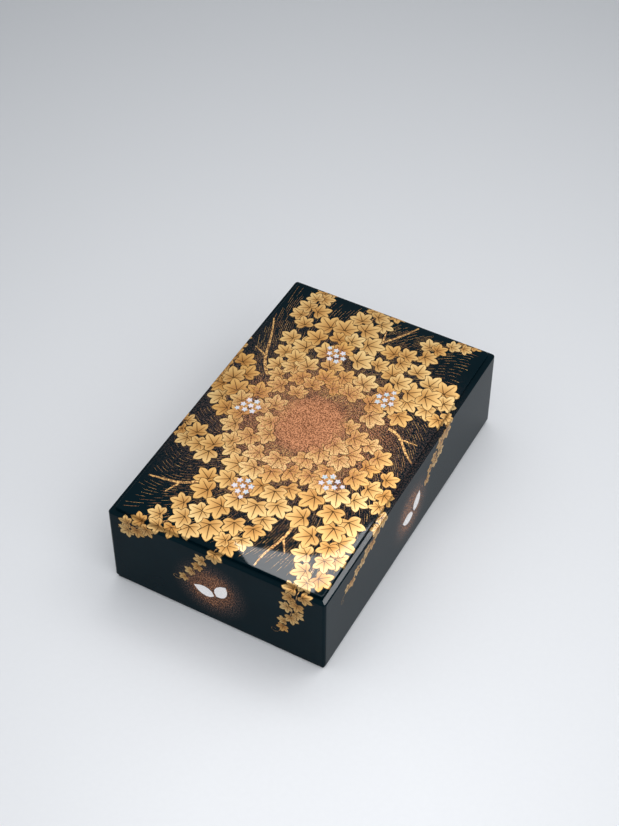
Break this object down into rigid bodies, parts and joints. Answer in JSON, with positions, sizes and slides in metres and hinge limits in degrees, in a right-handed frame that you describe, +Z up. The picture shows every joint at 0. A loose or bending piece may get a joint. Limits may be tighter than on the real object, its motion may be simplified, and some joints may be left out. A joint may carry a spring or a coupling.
{
  "type": "lacquer letter box",
  "caption": "Rectangular black lacquer letter box: a deep lift-off lid with a crowned top, gold leaves and inlaid shell slips over a hollow inner box on a low plinth.",
  "frame": {"origin": "middle of the underside, where the plinth stands", "axes": "+Z up, +Y along the box's length, +X across it"},
  "size_m": [0.1786, 0.2806, 0.0809],
  "materials": {
    "lacquer": "black lacquer polished to a mirror gloss over wood",
    "shell": "polished mother-of-pearl with faint colours",
    "gold": "gold powder leaves lying flush in the lacquer"
  },
  "bodies": {
    "root": {"lid": "lacquer", "box": "lacquer", "shell_blossom_1_1": "shell", "shell_blossom_1_2": "shell", "shell_blossom_1_3": "shell", "shell_blossom_1_4": "shell", "shell_blossom_1_5": "shell", "shell_blossom_1_6": "shell", "shell_blossom_1_7": "shell", "shell_blossom_1_8": "shell", "shell_blossom_2_1": "shell", "shell_blossom_2_2": "shell", "shell_blossom_2_3": "shell", "shell_blossom_2_4": "shell", "shell_blossom_2_5": "shell", "shell_blossom_2_6": "shell", "shell_blossom_2_7": "shell", "shell_blossom_2_8": "shell", "shell_blossom_3_1": "shell", "shell_blossom_3_2": "shell", "shell_blossom_3_3": "shell", "shell_blossom_3_4": "shell", "shell_blossom_3_5": "shell", "shell_blossom_3_6": "shell", "shell_blossom_3_7": "shell", "shell_blossom_3_8": "shell", "shell_blossom_4_1": "shell", "shell_blossom_4_2": "shell", "shell_blossom_4_3": "shell", "shell_blossom_4_4": "shell", "shell_blossom_4_5": "shell", "shell_blossom_4_6": "shell", "shell_blossom_4_7": "shell", "shell_blossom_4_8": "shell", "shell_blossom_5_1": "shell", "shell_blossom_5_2": "shell", "shell_blossom_5_3": "shell", "shell_blossom_5_4": "shell", "shell_blossom_5_5": "shell", "shell_blossom_5_6": "shell", "shell_blossom_5_7": "shell", "shell_blossom_5_8": "shell", "shell_leaf_front_right": "shell", "shell_leaf_front_left": "shell", "shell_leaf_right_right": "shell", "shell_leaf_right_left": "shell", "shell_leaf_back_right": "shell", "shell_leaf_back_left": "shell", "shell_leaf_left_right": "shell", "shell_leaf_left_left": "shell"}
  },
  "joints": []
}
